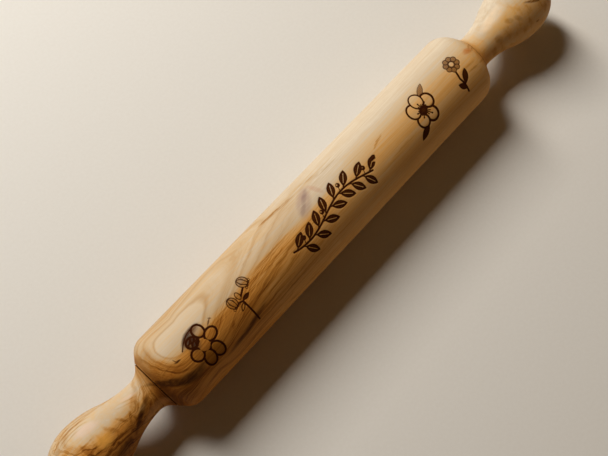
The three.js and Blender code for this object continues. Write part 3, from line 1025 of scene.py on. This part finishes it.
@dataclass(frozen=True)
class LeafyBranch:
    """A long curving twig with leaves set by turns on its two sides and a few berries."""

    left: float = -33.0
    right: float = 32.0
    middle_arc: float = 8.2
    sway: float = 3.4
    sway_start: float = 0.5
    twig_steps: int = 40
    twig_width: float = 1.2
    leaf_count: int = 15
    leaf_length: float = 10.6
    leaf_width: float = 4.8
    leaf_angle: float = 48.0
    stalk_length: float = 1.1
    stalk_width: float = 0.9
    midrib: Point = (3.0, 8.4)
    midrib_width: float = 0.35
    berry_every: int = 4
    berry_radius: float = 1.4
    berry_offset: float = 1.6
    berry_reach: Point = (1.6, 3.4)
    berry_stalk_width: float = 0.55
    glint_reach: Point = (0.3, 0.4)
    glint_radius: float = 0.4

    def _arc(self, station: np.ndarray | float) -> np.ndarray | float:
        """Arc of the twig at a station: one slow wave about its middle."""
        share = (station - self.left) / (self.right - self.left)
        return self.middle_arc + self.sway * np.sin(2.0 * np.pi * share + self.sway_start)

    def burn(self, plane: Plane, marks: Marks) -> None:
        """Draw the twig, its leaves with bare midribs, and its berries on short stalks."""
        stations = np.linspace(self.left, self.right, self.twig_steps)
        twig = np.column_stack((stations, self._arc(stations)))
        marks.draw(plane.stroke(list(twig), self.twig_width))
        for number in range(self.leaf_count):
            share = (number + 0.5) / self.leaf_count
            station = self.left + share * (self.right - self.left)
            side = 1.0 if number % 2 else -1.0
            self._leaf(plane, marks, station, side)
            if number % self.berry_every == 1:
                self._berry(plane, marks, station + self.berry_offset, -side)

    def _leaf(self, plane: Plane, marks: Marks, station: float, side: float) -> None:
        """Draw one leaf that leans towards the twig's tip, with a bare line along its middle.

        Args:
            plane: the rolled-out surface.
            marks: the marks to add to.
            station: where it leaves the twig.
            side: 1 for the lower side, -1 for the upper.
        """
        slope = self._arc(station + 0.5) - self._arc(station - 0.5)
        turn = math.atan(slope) + side * math.radians(self.leaf_angle)
        foot = np.array((station, float(self._arc(station))))
        reach = np.array((math.cos(turn), math.sin(turn)))
        base = foot + self.stalk_length * reach
        tip = foot + self.leaf_length * reach
        rib = [foot + distance * reach for distance in self.midrib]
        marks.draw(plane.stroke((foot, base), self.stalk_width))
        body = plane.leaf(base, tip, self.leaf_width)
        marks.draw(np.maximum(body, -plane.stroke(rib, self.midrib_width)))

    def _berry(self, plane: Plane, marks: Marks, station: float, side: float) -> None:
        """Draw one berry on a stalk, with a bare glint.

        Args:
            plane: the rolled-out surface.
            marks: the marks to add to.
            station: where its stalk leaves the twig.
            side: 1 for the lower side, -1 for the upper.
        """
        foot = (station, float(self._arc(station)))
        heart = (station + self.berry_reach[0], foot[1] + side * self.berry_reach[1])
        marks.draw(plane.stroke((foot, heart), self.berry_stalk_width))
        glint = plane.disc(np.subtract(heart, self.glint_reach), self.glint_radius)
        marks.draw(np.maximum(plane.disc(heart, self.berry_radius), -glint))


@dataclass(frozen=True)
class FivePetalBlossom:
    """Five round overlapping petals with bold edges, a dark starred heart and two leaves."""

    heart: Point = (79.2, 7.2)
    petals: tuple[tuple[Point, Point, float], ...] = (
        ((82.0, 12.0), (3.9, 4.5), 1.5),
        ((75.0, 11.7), (3.7, 4.1), 1.3),
        ((74.0, 3.9), (3.9, 4.6), 1.15),
        ((85.0, 4.5), (3.7, 4.4), 1.35),
        ((79.7, 0.6), (3.9, 4.7), 0.95),
    )
    heart_radius: float = 1.9
    hatched_leaf: tuple[Point, Point, float] = ((82.4, 1.2), (90.2, -5.2), 3.2)
    hatched_line: float = 0.5
    hatched_tone: float = 0.85
    dark_leaf: tuple[Point, Point, float] = ((76.8, 14.8), (67.2, 20.3), 4.2)
    stamen_width: float = 0.7
    stamen_dot: float = 0.55
    short_share: float = 0.7
    spread: float = 0.22
    stamens: tuple[Point, ...] = ((79.1, 2.4), (82.9, 4.2), (75.0, 6.4), (76.3, 10.6), (82.2, 12.0))

    def burn(self, plane: Plane, marks: Marks) -> None:
        """Draw the leaves, the petals one over the other, the stamens with their dots, and the heart."""
        hatched = plane.leaf(*self.hatched_leaf)
        marks.outline(hatched, self.hatched_line)
        marks.tint(hatched, self.hatched_tone)
        marks.draw(plane.leaf(*self.dark_leaf))
        for middle, reach, width in self.petals:
            marks.outline(plane.oval(middle, reach), width)
        for end in self.stamens:
            marks.draw(plane.stroke((self.heart, end), self.stamen_width))
            marks.draw(plane.disc(end, self.stamen_dot))
            run = np.subtract(end, self.heart)
            for lean in (-self.spread, self.spread):
                short = np.add(self.heart, self.short_share * run + lean * run[::-1] * (-1.0, 1.0))
                marks.draw(plane.stroke((self.heart, short), self.stamen_width))
        marks.draw(plane.disc(self.heart, self.heart_radius))


@dataclass(frozen=True)
class Daisy:
    """A small scalloped flower head on a stem with two dark leaves."""

    centre: Point = (111.9, 0.4)
    lobe_count: int = 8
    lobe_radius: float = 1.55
    ring_radius: float = 3.6
    disc_radius: float = 1.65
    stem: tuple[Point, ...] = ((110.2, 5.4), (109.2, 10.0), (109.9, 14.5), (109.5, 19.6))
    stem_width: float = 1.25
    leaves: tuple[tuple[Point, Point, float], ...] = (
        ((110.3, 14.8), (115.9, 7.2), 4.0),
        ((110.3, 17.4), (105.9, 12.0), 3.8),
    )
    lobe_line: float = 0.6
    disc_line: float = 0.5
    ring_tone: float = 0.85

    def burn(self, plane: Plane, marks: Marks) -> None:
        """Draw the stem and leaves, the scalloped ring with its tone, and the bare disc."""
        marks.draw(plane.stroke(self.stem, self.stem_width))
        for base, tip, width in self.leaves:
            marks.draw(plane.leaf(base, tip, width))
        edge = plane.disc(self.centre, self.ring_radius)
        for number in range(self.lobe_count):
            turn = 2.0 * math.pi * (number + 0.5) / self.lobe_count
            out = self.ring_radius * np.array((math.cos(turn), math.sin(turn)))
            lobe = plane.disc(self.centre + out, self.lobe_radius)
            marks.outline(lobe, self.lobe_line)
            edge = np.minimum(edge, lobe)
        marks.tint(edge, self.ring_tone)
        marks.outline(plane.disc(self.centre, self.disc_radius), self.disc_line)


def arc_points(centre: Point, reach: Point, start: float, end: float, steps: int) -> np.ndarray:
    """Points of an arc or elliptic arc: the centre plus the reach times sine and cosine of the angle.

    Args:
        centre: station and radius of the centre.
        reach: half axes along and away from the axis of the pin.
        start: first angle in radians; 0 points away from the axis, and angles grow towards +X.
        end: last angle.
        steps: number of stretches.

    Returns:
        Rows of station and radius.
    """
    angles = np.linspace(start, end, steps + 1)
    return np.column_stack((centre[0] + reach[0] * np.sin(angles), centre[1] + reach[1] * np.cos(angles)))


def soften(profile: np.ndarray, radius: float, steps: int, closed: bool) -> np.ndarray:
    """Round the sharp corners of a profile by arcs that touch both of its sides.

    A corner sharper than about 20 degrees is cut back by radius times the tangent of half its turn, and a
    blend of second order, (1-t)^2 A + 2t(1-t) C + t^2 B, joins the two cuts.

    Args:
        profile: rows of station and radius.
        radius: radius of the rounds.
        steps: stretches in each round.
        closed: whether the last row joins the first.

    Returns:
        The rounded profile.
    """
    before = np.roll(profile, 1, axis=0) - profile
    after = np.roll(profile, -1, axis=0) - profile
    before_length = np.linalg.norm(before, axis=1)
    after_length = np.linalg.norm(after, axis=1)
    cosine = np.sum(before * after, axis=1) / np.maximum(before_length * after_length, 1e-9)
    turn = np.pi - np.arccos(np.clip(cosine, -1.0, 1.0))
    sharp = turn > SHARP_TURN
    if not closed:
        sharp[[0, -1]] = False
    cut = np.minimum(radius * np.tan(turn / 2), MOST_CUT * np.minimum(before_length, after_length))
    share = np.linspace(0.0, 1.0, steps + 1)[:, None]
    rounded = []
    for row in range(len(profile)):
        corner = profile[row]
        if sharp[row]:
            first = corner + before[row] / before_length[row] * cut[row]
            last = corner + after[row] / after_length[row] * cut[row]
            rounded.append((1 - share) ** 2 * first + 2 * share * (1 - share) * corner + share**2 * last)
        else:
            rounded.append(corner[None, :])
    return np.concatenate(rounded)


class Section(Enum):
    """How a turned profile ends: joined to itself round a bore, or on the axis at both ends."""

    RING = "ring"
    SOLID = "solid"


@dataclass
class Turned:
    """A profile carried round the pin's axis.

    A point of the profile at station x and radius r goes to (x, -r sin a, r cos a) for every angle a from
    the top towards -Y, at the height of the axis. On a solid the first and last points are poles.
    """

    profile: np.ndarray
    angles: np.ndarray
    section: Section = Section.RING
    relief: np.ndarray | None = None

    def _points(self, rows: np.ndarray, relief: np.ndarray | None) -> np.ndarray:
        """Carry rows of the profile round the axis, less the relief's depth."""
        radius = rows[:, 1][:, None] - (0.0 if relief is None else relief)
        station = np.broadcast_to(rows[:, 0][:, None], (len(rows), len(self.angles)))
        across = -radius * np.sin(self.angles)[None, :]
        height = radius * np.cos(self.angles)[None, :] + AXIS_HEIGHT
        return np.stack((station, across, height), axis=-1).reshape(-1, 3)

    def build(self, name: str) -> bpy.types.Object:
        """Make the surface as an object with smooth faces and sharp corners kept.

        Args:
            name: name of the object.

        Returns:
            The object, at the origin.
        """
        around = len(self.angles)
        column = np.arange(around)
        following = np.roll(column, -1)
        if self.section is Section.RING:
            points = self._points(self.profile, self.relief)
            row = np.arange(len(self.profile))[:, None] * around
            row_after = np.roll(row, -1, axis=0)
            quads = self._quads(row, row_after, column, following)
            fans = np.empty((0, 3), dtype=int)
        else:
            ring_points = self._points(self.profile[1:-1], None)
            poles = np.array([(end[0], 0.0, AXIS_HEIGHT) for end in self.profile[[0, -1]]])
            points = np.concatenate((ring_points, poles))
            row = np.arange(len(self.profile) - 3)[:, None] * around
            quads = self._quads(row, row + around, column, following)
            last = (len(self.profile) - 3) * around
            first_pole = len(ring_points)
            first_fan = np.column_stack((np.full(around, first_pole), following, column))
            last_fan = np.column_stack((last + column, last + following, np.full(around, first_pole + 1)))
            fans = np.concatenate((first_fan, last_fan))
        mesh = bpy.data.meshes.new(name)
        mesh.from_pydata((points * METRES).tolist(), [], quads.tolist() + fans.tolist())
        mesh.polygons.foreach_set("use_smooth", np.ones(len(mesh.polygons), dtype=bool))
        mesh.set_sharp_from_angle(angle=SHARP_EDGE)
        mesh.update()
        made = bpy.data.objects.new(name, mesh)
        bpy.context.scene.collection.objects.link(made)
        return made

    @staticmethod
    def _quads(
        row: np.ndarray,
        row_after: np.ndarray,
        column: np.ndarray,
        following: np.ndarray,
    ) -> np.ndarray:
        """Join neighbouring rows and columns of grid points by faces that point away from the axis."""
        corners = (row + column, row + following, row_after + following, row_after + column)
        return np.stack(corners, axis=-1).reshape(-1, 4)


def even_turn(count: int) -> np.ndarray:
    """Angles of an even turn round the axis."""
    return np.linspace(0.0, 2.0 * np.pi, count, endpoint=False)


def dress(made: bpy.types.Object, material: bpy.types.Material) -> None:
    """Give an object one material."""
    made.data.materials.clear()
    made.data.materials.append(material)


@dataclass
class Barrel:
    """The roller: a straight cylinder, a rounded shoulder and a slope at each end, and a bored heart."""

    radius: float = BARREL_RADIUS
    rolling_length: float = 244.0
    shoulder_radius: float = 10.5
    slope: float = math.radians(50.0)
    end_face: float = 133.2315
    end_face_radius: float = 16.45
    seat_radius: float = 11.15
    seat_chamfer: float = 0.8
    seat_floor: float = 124.8815
    bore_radius: float = 7.0
    edge_round: float = 0.45
    fine_step: float = 0.335
    wide_step: float = 4.0
    wide_angle: float = math.radians(4.0)
    burnt_arc: Point = (-7.0, 24.0)
    burnt_stretches: tuple[Point, ...] = (
        (-113.0, -90.0),
        (-80.0, -60.0),
        (-34.5, 35.0),
        (66.0, 91.0),
        (105.0, 118.0),
    )
    margin: float = 0.5
    shoulder_steps: int = 16
    slope_steps: int = 5
    corner_steps: int = 4
    seat_steps: int = 3
    line_slope: float = 0.45
    line_depth: float = 0.14
    tone_depth: float = 0.05
    ornaments: tuple[Ornament, ...] = field(
        default_factory=lambda: (SixPetalFlower(), BudSprig(), LeafyBranch(), FivePetalBlossom(), Daisy())
    )

    def _stations(self) -> np.ndarray:
        """Stations along the rolling surface, close together only where an ornament lies."""
        half = self.rolling_length / 2
        wide = np.arange(-half + self.wide_step, half, self.wide_step)
        fine = []
        for left, right in self.burnt_stretches:
            fine.append(np.arange(left, right, self.fine_step))
            wide = wide[(wide < left - self.margin) | (wide > right + self.margin)]
        return np.sort(np.concatenate((wide, *fine)))

    def _angles(self) -> np.ndarray:
        """Angles round the axis, close together across the ornaments and wide apart elsewhere."""
        first, last = (arc / self.radius for arc in self.burnt_arc)
        fine = np.arange(first, last, self.fine_step / self.radius)
        wide_count = int((2.0 * math.pi - (last - first)) / self.wide_angle)
        wide = np.linspace(last, first + 2.0 * math.pi, wide_count, endpoint=False)
        return np.concatenate((fine, wide))

    def _profile(self) -> np.ndarray:
        """Section of the barrel: rolling surface, then shoulder, slope, end face, seat and bore each way."""
        half = self.rolling_length / 2
        centre = (half, self.radius - self.shoulder_radius)
        reach = (self.shoulder_radius, self.shoulder_radius)
        shoulder = arc_points(centre, reach, 0.0, self.slope, self.shoulder_steps)
        end = np.array(
            [
                (self.end_face, self.end_face_radius),
                (self.end_face, self.seat_radius + self.seat_chamfer),
                (self.end_face - self.seat_chamfer, self.seat_radius),
                (self.seat_floor, self.seat_radius),
                (self.seat_floor, self.bore_radius),
            ]
        )
        slope_points = np.linspace(shoulder[-1], end[0], self.slope_steps + 1)[1:-1]
        corner = np.array([shoulder[-1], end[0], end[1]])
        corner = soften(corner, self.edge_round, self.corner_steps, closed=False)[1:-1]
        seat = soften(end, self.edge_round, self.seat_steps, closed=False)[1:]
        right = np.concatenate((shoulder, slope_points, corner, seat))
        left = right[::-1] * np.array((-1.0, 1.0))
        stations = self._stations()
        rolling = np.column_stack((stations, np.full(len(stations), self.radius)))
        return np.concatenate((rolling, right, left))

    def _marks(self, profile: np.ndarray, angles: np.ndarray) -> Marks:
        """Burn the ornaments on the rolled-out grid; only the rolling surface carries them."""
        arc = np.where(angles > math.pi, angles - 2.0 * math.pi, angles) * self.radius
        plane = Plane(*np.meshgrid(profile[:, 0], arc, indexing="ij"))
        marks = Marks.none(plane)
        for ornament in self.ornaments:
            ornament.burn(plane, marks)
        inside = profile[:, 1] < self.radius - self.margin
        marks.line[inside] = UNMARKED
        marks.tone[inside] = 0.0
        return marks

    def build(self, wood: OliveWood, finish: bpy.types.Material) -> bpy.types.Object:
        """Turn the barrel, sink the burnt lines a little and dress it.

        Args:
            wood: the wood that the marks are burnt into.
            finish: its material.

        Returns:
            The barrel.
        """
        profile = self._profile()
        angles = self._angles()
        marks = self._marks(profile, angles)
        sunk = smooth_step(self.line_slope, -self.line_slope, marks.line)
        depth = self.line_depth * sunk + self.tone_depth * marks.tone
        barrel = Turned(profile, angles, Section.RING, depth).build("turned_barrel")
        char = np.maximum(wood.mark_margin - marks.line, 0.0)
        for name, values in (("char", char), ("scorch", marks.tone)):
            attribute = barrel.data.attributes.new(name, "FLOAT", "POINT")
            attribute.data.foreach_set("value", values.ravel().astype(np.float32))
        dress(barrel, finish)
        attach(barrel, "barrel")
        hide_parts("barrel")
        return barrel


class Side(Enum):
    """The two ends of the pin, with the direction that each lies in."""

    LEFT = ("left", -1.0)
    RIGHT = ("right", 1.0)

    @property
    def label(self) -> str:
        """Word that names the side in the pieces."""
        return self.value[0]

    @property
    def way(self) -> float:
        """Direction along X."""
        return self.value[1]


def towards(side: Side, profile: np.ndarray) -> np.ndarray:
    """Turn a profile made for the right-hand end to a side, with its outer run still towards +X."""
    if side is Side.RIGHT:
        return profile
    return profile[::-1] * np.array((-1.0, 1.0))


@dataclass
class Handle:
    """One turned handle: flared foot, neck, swelling bulb and the plug that closes its end."""

    side: Side
    foot_face: float = 133.5815
    foot_radius: float = 16.0329
    slope: float = math.radians(50.0)
    fillet_start: Point = (135.1070, 14.2149)
    neck: float = 142.0013
    neck_radius: float = 11.0
    fillet_radius: float = 9.0
    grip: float = 183.3013
    grip_radius: float = 19.3
    dome: float = 23.5
    recess_radius: float = 8.0
    recess_floor: float = 181.9013
    bore_radius: float = 4.0
    land: Point = (12.6, 15.3)
    land_height: float = 0.23
    plug_face: float = 195.8013
    plug_radius: float = 7.85
    edge_round: float = 0.4
    edge_steps: int = 4
    hollow_steps: int = 14
    swell_steps: int = 22
    dome_steps: int = 34
    tip_steps: int = 24
    tip_edge_steps: int = 3
    turns: int = 128

    def _profile(self) -> np.ndarray:
        """Section of the handle: foot, hollow, two equal swelling arcs, elliptic dome, recess and bore."""
        rise = (self.grip_radius - self.neck_radius) / 2
        run = (self.grip - self.neck) / 2
        swell = (run * run + rise * rise) / (2.0 * rise)
        angle = 2.0 * math.atan(rise / run)
        mouth = math.acos(self.recess_radius / self.grip_radius)
        hollow_centre = (self.neck, self.neck_radius + self.fillet_radius)
        fillet = (self.fillet_radius, self.fillet_radius)
        hollow = arc_points(hollow_centre, fillet, math.pi + self.slope, math.pi, self.hollow_steps)
        lift_centre = (self.neck, self.neck_radius + swell)
        lift = arc_points(lift_centre, (swell, swell), math.pi, math.pi - angle, self.swell_steps)
        crown_centre = (self.grip, self.grip_radius - swell)
        crown = arc_points(crown_centre, (swell, swell), -angle, 0.0, self.swell_steps)
        dome = arc_points((self.grip, 0.0), (self.dome, self.grip_radius), 0.0, mouth, self.dome_steps)
        inside = np.array(
            [
                (self.recess_floor, self.recess_radius),
                (self.recess_floor, self.bore_radius),
                (self.foot_face, self.bore_radius),
                (self.foot_face, self.land[0]),
                (self.foot_face - self.land_height, self.land[0]),
                (self.foot_face - self.land_height, self.land[1]),
                (self.foot_face, self.land[1]),
                (self.foot_face, self.foot_radius),
            ]
        )
        profile = np.concatenate((hollow, lift[1:], crown[1:], dome[1:], inside))
        return soften(profile, self.edge_round, self.edge_steps, closed=True)

    def _plug_profile(self) -> np.ndarray:
        """Section of the plug: a flat inner face, a straight side and the tip of the handle's dome."""
        rim = math.acos(self.plug_radius / self.grip_radius)
        reach = (self.dome, self.grip_radius)
        dome = arc_points((self.grip, 0.0), reach, rim, math.pi / 2, self.tip_steps)
        flat = np.array([(self.plug_face, 0.0), (self.plug_face, self.plug_radius)])
        return soften(np.concatenate((flat, dome)), self.edge_round / 2, self.tip_edge_steps, closed=False)

    def build(self, wood: bpy.types.Material) -> list[bpy.types.Object]:
        """Turn the handle and its plug and dress them.

        Args:
            wood: material of both.

        Returns:
            The handle and the plug.
        """
        label = self.side.label
        angles = even_turn(self.turns)
        body = Turned(towards(self.side, self._profile()), angles)
        tip = Turned(towards(self.side, self._plug_profile()), angles, Section.SOLID)
        handle = body.build(f"turned_{label}_handle")
        plug = tip.build(f"turned_{label}_plug")
        for made, node in ((handle, f"{label}_handle"), (plug, f"{label}_handle_plug")):
            dress(made, wood)
            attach(made, "axle_and_handles")
            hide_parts(node)
        return [handle, plug]


@dataclass
class RunningGear:
    """The steel and plastic pieces inside: axle, nuts, washers and bearings."""

    # painted shade: the greased washers are near-black so that the seam gap stays dark where the key lamp
    # shines into it
    greased_and_shaded: Metal = Metal(paint(15, 11, 8), paint(10, 7, 5), 0.85, 0.5)
    zinc: Metal = Metal(paint(176, 180, 184), paint(150, 154, 160), 0.38, 0.5)
    bright: Metal = Metal(paint(205, 208, 212), paint(186, 190, 196), 0.2, 0.25)
    nylon: Moulded = Moulded(paint(232, 224, 204), paint(220, 210, 188), 0.55, 0.2)
    rubber: Moulded = Moulded(paint(38, 35, 33), paint(28, 26, 25), 0.7, 0.4)

    def dress(self, nodes: Mapping[str, bpy.types.Object]) -> None:
        """Give every inner piece its finish.

        Args:
            nodes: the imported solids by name.
        """
        zinc = self.zinc.material("zinc_steel")
        greased_and_shaded = self.greased_and_shaded.material("greased_steel")
        bright = self.bright.material("bearing_steel")
        nylon = self.nylon.material("cage_nylon")
        rubber = self.rubber.material("seal_rubber")
        for name, node in nodes.items():
            if name.endswith("_seal"):
                dress(node, rubber)
            elif name.endswith("_cage"):
                dress(node, nylon)
            elif name.endswith("_race") or "_ball_" in name:
                dress(node, bright)
            # painted shade in the seam gap: the near-black washers
            elif name.endswith("_spacer_washer"):
                dress(node, greased_and_shaded)
            elif name == "axle" or name.endswith(("_nut", "_nut_washer")):
                dress(node, zinc)


@dataclass
class Studio:
    """Pale table, one soft key lamp, a faint warm surround and the camera."""

    camera_place: Triple = (-124.6, -100.0, 484.7)
    camera_rise: float = math.radians(71.98)
    camera_bearing: float = math.radians(-47.71)
    lens: float = 50.0
    sensor: float = 36.0
    table_half: float = 3.0
    table_cells: int = 8
    mottle_grain: Triple = (0.5, 0.5, 0.5)
    paper_grain: Triple = (2.5, 2.5, 2.5)
    paper_height: float = 0.0002
    table_tint: Colour = paint(229, 224, 214)
    table_shade: Colour = paint(223, 217, 206)
    key_rise: float = math.radians(44.3)
    key_distance: float = 1.4
    key_shift: float = 0.06
    key_size: Point = (0.332, 0.746)
    key_power: float = 21.8
    key_colour: Triple = (1.0, 0.96, 0.91)
    window_place: Triple = (-0.1, 0.55, 0.45)
    window_size: Point = (0.4, 0.4)
    window_power: float = 0.4
    window_colour: Triple = (0.15, 0.55, 1.0)
    surround: Colour = (0.059, 0.036, 0.0175, 1.0)
    haze: Colour = paint(226, 221, 210)
    haze_reach: Point = (260.0, 640.0)

    def table(self) -> bpy.types.Object:
        """Lay the table: a flat grid with a faint paper-like mottle.

        Returns:
            The table.
        """
        cells = self.table_cells
        edge = np.linspace(-self.table_half, self.table_half, cells + 1)
        across, along = np.meshgrid(edge, edge)
        points = np.stack((along, across, np.zeros_like(along)), axis=-1).reshape(-1, 3)
        first = (np.arange(cells)[:, None] * (cells + 1) + np.arange(cells)).ravel()
        quads = np.column_stack((first + 1, first + cells + 2, first + cells + 1, first))
        mesh = bpy.data.meshes.new("table")
        mesh.from_pydata(points.tolist(), [], quads.tolist())
        made = bpy.data.objects.new("table", mesh)
        bpy.context.scene.collection.objects.link(made)
        sheet = NodeSheet.named("table_paper")
        place = sheet.place()
        mottle = sheet.noise(place, self.mottle_grain, 4.0)
        grain = sheet.noise(place, self.paper_grain, 2.0)
        colour = sheet.blend(0.5 + mottle, self.table_tint, self.table_shade)
        normal = sheet.bump(grain, 0.15, self.paper_height)
        paper = sheet.surface(
            {"Base Color": colour, "Roughness": 0.8, "Normal": normal, "Specular IOR Level": 0.0}
        )
        along, across, _ = sheet.split(place)
        distance = (along * along + across * across).root()
        haze = distance.step(*self.haze_reach) * sheet.seen()
        dress(made, sheet.close(sheet.layered(haze, paper, sheet.glow(self.haze))))
        return made

    @staticmethod
    def _lamp(name: str, place: Vector, size: Point, power: float, colour: Triple) -> bpy.types.Object:
        """Hang a flat lamp that faces the middle of the table.

        Args:
            name: name of the lamp.
            place: where it hangs, in metres.
            size: its width and its height, in metres.
            power: its power in watts.
            colour: its light.

        Returns:
            The lamp.
        """
        lamp = bpy.data.lights.new(name, "AREA")
        lamp.shape = "RECTANGLE"
        lamp.size, lamp.size_y = size
        lamp.energy = power
        lamp.color = colour
        hung = bpy.data.objects.new(name, lamp)
        hung.location = place
        hung.rotation_euler = (-place).to_track_quat("-Z", "Y").to_euler()
        bpy.context.scene.collection.objects.link(hung)
        return hung

    def light(self) -> None:
        """Hang the key lamp over the far side of the pin, a cool window near it, and set the surround."""
        rise = self.key_rise
        key = Vector((self.key_shift, math.cos(rise) * self.key_distance, math.sin(rise) * self.key_distance))
        self._lamp("key", key, self.key_size, self.key_power, self.key_colour)
        window_place = Vector(self.window_place)
        window = self._lamp("window", window_place, self.window_size, self.window_power, self.window_colour)
        window.visible_glossy = False
        world = bpy.data.worlds.new("surround")
        sheet = NodeSheet(world)
        colour = sheet.blend(sheet.seen(), self.surround, self.haze)
        background = sheet.node("ShaderNodeBackground", {}, {"Color": colour})
        sheet.node("ShaderNodeOutputWorld", {}, {"Surface": Signal(sheet, background.outputs[0])})
        bpy.context.scene.world = world

    def camera(self) -> None:
        """Set the camera by its place, rise and bearing."""
        rise = self.camera_rise
        bearing = self.camera_bearing
        level = math.cos(rise)
        back = Vector((math.sin(bearing) * level, -math.cos(bearing) * level, math.sin(rise)))
        right = Vector((math.cos(bearing), math.sin(bearing), 0.0))
        above = back.cross(right)
        lens = bpy.data.cameras.new("camera")
        lens.lens = self.lens
        lens.sensor_width = self.sensor
        stand = bpy.data.objects.new("camera", lens)
        turn = Matrix((right, above, back)).transposed().to_4x4()
        stand.matrix_world = Matrix.Translation(Vector(self.camera_place) * METRES) @ turn
        bpy.context.scene.collection.objects.link(stand)
        bpy.context.scene.camera = stand


def main() -> None:
    """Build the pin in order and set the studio."""
    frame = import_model()
    bpy.context.scene.view_settings.view_transform = "Standard"
    studio = Studio()
    studio.camera()
    studio.light()
    studio.table()
    wood = OliveWood()
    barrel_wood = wood.material("barrel_wood")
    handle_wood = barrel_wood.copy()
    handle_wood.name = "handle_wood"
    pieces = [Barrel().build(wood, barrel_wood)]
    for side in Side:
        pieces.extend(Handle(side).build(handle_wood))
    RunningGear().dress(frame["nodes"])
    for made in pieces:
        LOG.info("%s: %d faces", made.name, len(made.data.polygons))


if __name__ == "__main__":
    logging.basicConfig(level=logging.INFO, format="%(message)s")
    main()
